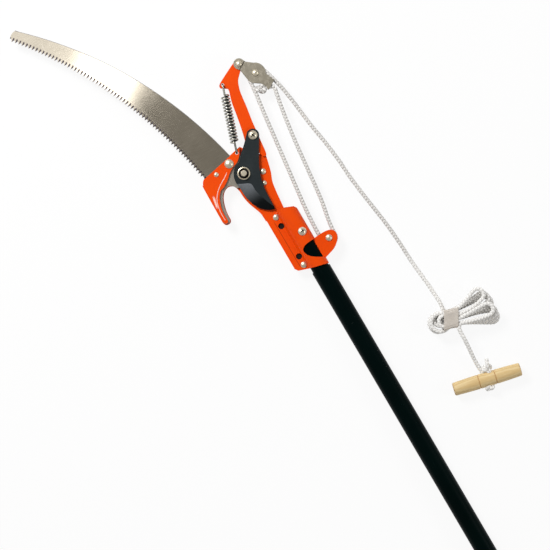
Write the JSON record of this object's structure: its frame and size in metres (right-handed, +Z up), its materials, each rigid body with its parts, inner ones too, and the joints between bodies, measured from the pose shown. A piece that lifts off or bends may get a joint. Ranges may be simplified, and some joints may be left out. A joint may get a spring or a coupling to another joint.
{
  "type": "tree pruner pole",
  "caption": "Sliding tree pruner pole with a curved pruning saw, a hooked lopper blade on a sprung lever, and a rope tackle with a hank and wooden toggle.",
  "frame": {"origin": "centre of the pole's butt end, on the pole's axis", "axes": "+Y along the pole from the butt to the head, +X to the rope side of the head, +Z up off the ground as the tool lies flat"},
  "size_m": [0.3936, 1.5034, 0.032],
  "materials": {
    "pole_paint": "satin paint",
    "black_plastic": "moulded",
    "zinc_sheet": "zinc plated",
    "orange_paint": "gloss powder coat",
    "bare_steel": "ground",
    "saw_steel": "polished along its length",
    "blade_black": "black non-stick coat, ground edge",
    "fastener_steel": "plated",
    "spring_steel": "galvanised",
    "rope_white": "braided",
    "band_paper": "frosted tape",
    "toggle_wood": "turned and lacquered"
  },
  "bodies": {
    "pole": {"outer_tube": "pole_paint", "end_plug": "black_plastic"},
    "head": {"inner_tube": "pole_paint", "lock_plug": "zinc_sheet", "lock_ring": "black_plastic", "front_shell": "orange_paint", "back_shell": "orange_paint", "shell_rivets": "fastener_steel", "clamp_screw": "fastener_steel", "flank_rivets": "fastener_steel", "hook_plate": "bare_steel", "hook_cover": "orange_paint", "saw_blade": "saw_steel", "saw_bolt": "fastener_steel", "saw_nut": "fastener_steel", "saw_pin": "fastener_steel", "pivot_bolt": "fastener_steel", "pivot_nut": "fastener_steel", "return_spring": "spring_steel", "ear_axle": "fastener_steel", "free_rope": "rope_white", "rope_hank": "rope_white", "hank_band": "band_paper", "tail_rope": "rope_white", "toggle_knot": "rope_white", "toggle_end_knot": "rope_white", "toggle_handle": "toggle_wood"},
    "lever": {"cutting_blade": "blade_black", "lever_arm": "orange_paint", "lever_screw": "fastener_steel", "lever_nut": "fastener_steel", "lever_dowel": "fastener_steel", "tip_rivet": "fastener_steel"},
    "block": {"block_straps": "zinc_sheet", "neck_pin": "fastener_steel", "block_front_cheek": "zinc_sheet", "block_back_cheek": "zinc_sheet", "block_axle": "fastener_steel", "anchor_pin": "fastener_steel", "anchor_knot": "rope_white", "block_rope": "rope_white", "rope_drop": "rope_white"},
    "block_wheel": {"block_wheel": "black_plastic"},
    "ear_wheel": {"ear_wheel": "black_plastic"},
    "hoist_rope": {"ear_rope": "rope_white", "rope_rise": "rope_white", "rope_fall": "rope_white"}
  },
  "joints": [
    {"name": "pole_extend", "type": "slide", "parent": "pole", "child": "head", "axis": [0, 1, 0], "range_m": [0, 0.75]},
    {"name": "lever_swing", "type": "hinge", "parent": "head", "child": "lever", "pos_m": [-0.026, 1.1695, 0], "axis": [0, 0, 1], "range_deg": [-56, 0], "stiffness_Nm_per_rad": 1.5, "springref_deg": 5.73, "deforming": ["return_spring", "rope_rise", "rope_fall", "rope_drop", "free_rope"]},
    {"name": "block_swing", "type": "hinge", "parent": "lever", "child": "block", "pos_m": [0.0455, 1.3055, 0], "axis": [0, 0, 1], "range_deg": [0, 27.3]},
    {"name": "block_wheel_spin", "type": "hinge", "parent": "block", "child": "block_wheel", "pos_m": [0.059, 1.283, 0], "axis": [0, 0, 1], "range_deg": [-923, 0]},
    {"name": "ear_wheel_spin", "type": "hinge", "parent": "head", "child": "ear_wheel", "pos_m": [0.0315, 1.032, 0], "axis": [0, 0, 1], "range_deg": [-531, 0]},
    {"name": "hoist_turn", "type": "hinge", "parent": "head", "child": "hoist_rope", "pos_m": [0.0315, 1.032, 0], "axis": [0, 0, 1], "range_deg": [-28.9, 0]}
  ],
  "couplings": [
    {"joint": "block_swing", "follows": "lever_swing", "ratio": -0.486},
    {"joint": "block_wheel_spin", "follows": "lever_swing", "ratio": 16.475},
    {"joint": "ear_wheel_spin", "follows": "lever_swing", "ratio": 9.475},
    {"joint": "hoist_turn", "follows": "lever_swing", "ratio": 0.514}
  ]
}
